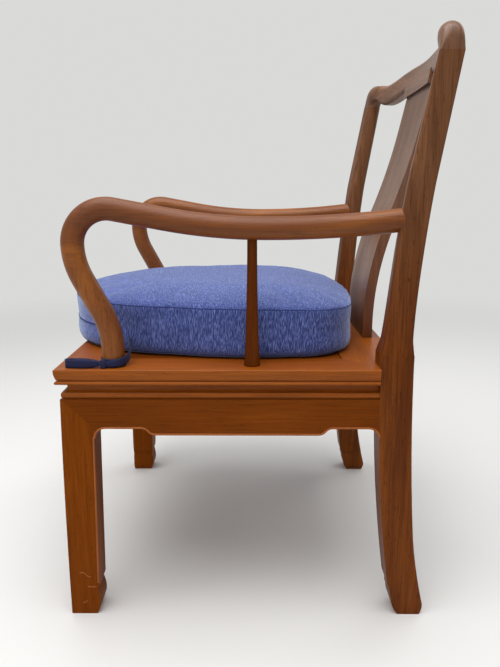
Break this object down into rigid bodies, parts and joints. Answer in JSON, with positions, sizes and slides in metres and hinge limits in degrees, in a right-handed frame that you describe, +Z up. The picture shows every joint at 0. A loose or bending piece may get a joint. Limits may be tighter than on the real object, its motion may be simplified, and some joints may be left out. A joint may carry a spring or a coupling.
{
  "type": "armchair",
  "caption": "Open armchair of dark red hardwood: box frame on inward hoof feet, goose-neck arms, bent splat, bowed crest rail, and a tied boxed cushion.",
  "frame": {"origin": "floor under the middle of the whole chair", "axes": "+Z up, -Y the way the sitter faces, +X the sitter's left"},
  "size_m": [0.596, 0.6468, 0.9009],
  "materials": {
    "wood": "satin",
    "arm_wood": "satin",
    "panel_wood": "satin",
    "cushion_fabric": "satin",
    "tie_tape": "matte"
  },
  "bodies": {
    "chair": {"front_leg_left": "wood", "front_leg_right": "wood", "rear_leg_left": "wood", "rear_leg_right": "wood", "seat_front_rail": "wood", "seat_side_rail_left": "wood", "seat_side_rail_right": "wood", "seat_back_rail": "wood", "seat_panel": "panel_wood", "seat_batten_front": "panel_wood", "seat_batten_rear": "panel_wood", "waist_front": "wood", "waist_back": "wood", "waist_left": "wood", "waist_right": "wood", "apron_front": "wood", "apron_back": "wood", "apron_left": "wood", "apron_right": "wood", "arm_left": "arm_wood", "arm_right": "arm_wood", "arm_spindle_left": "arm_wood", "arm_spindle_right": "arm_wood", "crest_rail": "wood", "splat": "wood", "cushion_tie_left": "tie_tape", "cushion_tie_right": "tie_tape"},
    "cushion": {"cushion": "cushion_fabric"}
  },
  "joints": [
    {"name": "cushion_lift", "type": "slide", "parent": "chair", "child": "cushion", "axis": [0, 0, 1], "range_m": [0, 0.3]}
  ]
}
